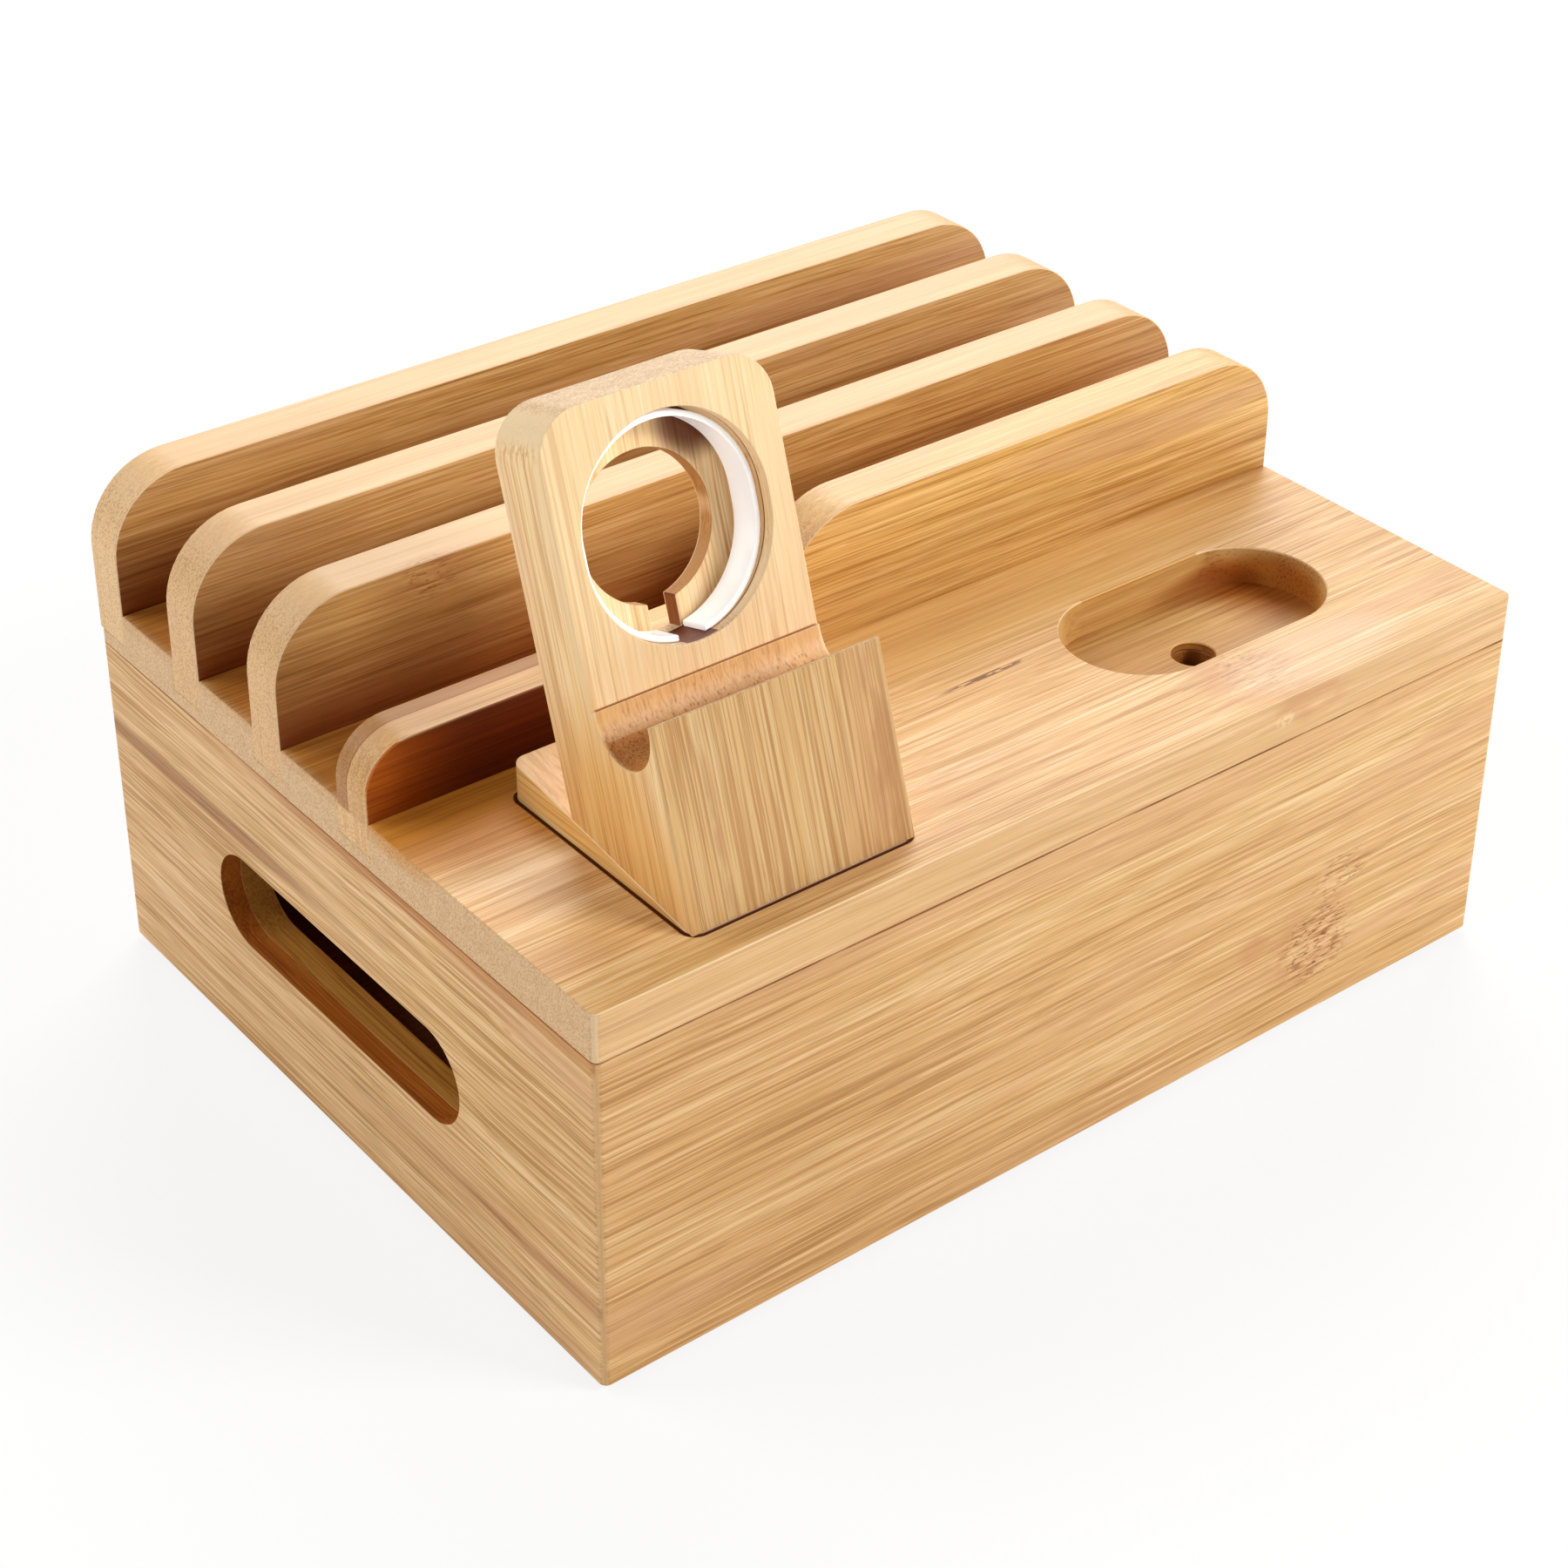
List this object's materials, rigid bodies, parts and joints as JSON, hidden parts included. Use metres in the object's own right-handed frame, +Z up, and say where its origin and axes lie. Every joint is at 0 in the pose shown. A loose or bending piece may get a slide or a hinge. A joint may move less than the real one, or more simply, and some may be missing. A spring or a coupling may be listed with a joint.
{
  "type": "charging station organizer",
  "caption": "Bamboo charging box with a side cable opening, a lift-off lid with upright device slots and an earbud tray, and a leaning phone and watch charger stand.",
  "frame": {"origin": "on the ground under the middle of the box, where the feet stand", "axes": "+X to the right of someone facing the front, +Y from the front to the back, +Z up"},
  "size_m": [0.175, 0.1334, 0.1269],
  "materials": {
    "bamboo_wall": "satin oiled bamboo, strip grain",
    "bamboo_lid": "satin oiled bamboo, strip grain",
    "bamboo_divider": "satin oiled bamboo, strip grain",
    "bamboo_stand": "satin oiled bamboo, mixed strips",
    "bamboo_panel": "plain bamboo",
    "foot_rubber": "matte",
    "liner_plastic": "glossy white",
    "screw_steel": "zinc plated"
  },
  "bodies": {
    "case": {"front_board": "bamboo_wall", "back_board": "bamboo_wall", "left_board": "bamboo_wall", "right_board": "bamboo_wall", "bottom_panel": "bamboo_panel", "foot_front_left": "foot_rubber", "foot_front_right": "foot_rubber", "foot_back_left": "foot_rubber", "foot_back_right": "foot_rubber"},
    "lid": {"lid_board": "bamboo_lid", "batten_left": "bamboo_panel", "batten_right": "bamboo_panel", "tray_pad": "bamboo_panel", "divider_back": "bamboo_divider", "divider_mid_back": "bamboo_divider", "divider_mid_front": "bamboo_divider", "divider_front": "bamboo_divider"},
    "stand": {"stand_block": "bamboo_stand", "stand_plank": "bamboo_stand", "seat_liner": "liner_plastic", "stand_screws": "screw_steel"}
  },
  "joints": [
    {"name": "lid_lift", "type": "slide", "parent": "case", "child": "lid", "axis": [0, 0, 1], "range_m": [0, 0.08]},
    {"name": "stand_lift", "type": "slide", "parent": "lid", "child": "stand", "axis": [0, 0, 1], "range_m": [0, 0.04]}
  ]
}
